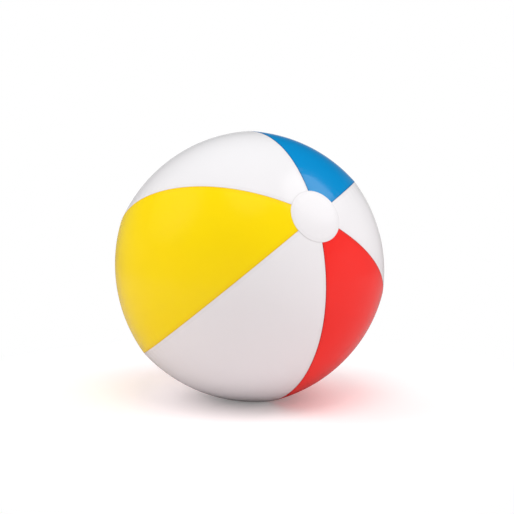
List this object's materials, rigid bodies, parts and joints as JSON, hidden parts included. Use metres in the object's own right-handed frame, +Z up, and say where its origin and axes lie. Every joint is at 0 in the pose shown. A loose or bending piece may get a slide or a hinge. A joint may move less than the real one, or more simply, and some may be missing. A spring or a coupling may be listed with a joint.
{
  "type": "inflatable beach ball",
  "caption": "Inflatable ball of welded film panels in yellow, white, red and blue, with round end patches and a push-in air valve with a tethered plug.",
  "frame": {"origin": "centre of the flat on which the inflated ball rests, straight below the ball's centre", "axes": "+Z up; the ball's own axis lies in the YZ plane, with the front end patch facing -Y and 25 degrees upwards and the valve facing +Y and 25 degrees downwards"},
  "size_m": [0.3234, 0.3234, 0.3219],
  "materials": {
    "white_film": "gloss",
    "yellow_film": "gloss",
    "red_film": "gloss",
    "blue_film": "gloss",
    "valve_plastic": "satin"
  },
  "bodies": {
    "envelope": {"white_panel_lower": "white_film", "red_panel": "red_film", "white_panel_right": "white_film", "blue_panel": "blue_film", "white_panel_upper": "white_film", "yellow_panel": "yellow_film", "front_end_patch": "white_film", "rear_end_patch": "white_film", "valve_flange": "valve_plastic", "valve_cup": "valve_plastic"},
    "valve_stem": {"valve_stem": "valve_plastic", "tether_ring": "valve_plastic", "tether_strap": "valve_plastic"},
    "valve_plug": {"valve_plug": "valve_plastic"},
    "check_flap": {"check_flap": "valve_plastic"}
  },
  "joints": [
    {"name": "stem_pull", "type": "slide", "parent": "envelope", "child": "valve_stem", "axis": [0, 0.9063, -0.4226], "range_m": [0, 0.0125], "deforming": ["valve_cup"]},
    {"name": "plug_pull", "type": "slide", "parent": "valve_stem", "child": "valve_plug", "axis": [0, 0.9063, -0.4226], "range_m": [0, 0.0065], "deforming": ["tether_strap"]},
    {"name": "flap_swing", "type": "hinge", "parent": "valve_stem", "child": "check_flap", "pos_m": [0.0046, 0.13359, 0.0979], "axis": [0, 0.4226, 0.9063], "range_deg": [0, 55], "stiffness_Nm_per_rad": 0.00002}
  ]
}
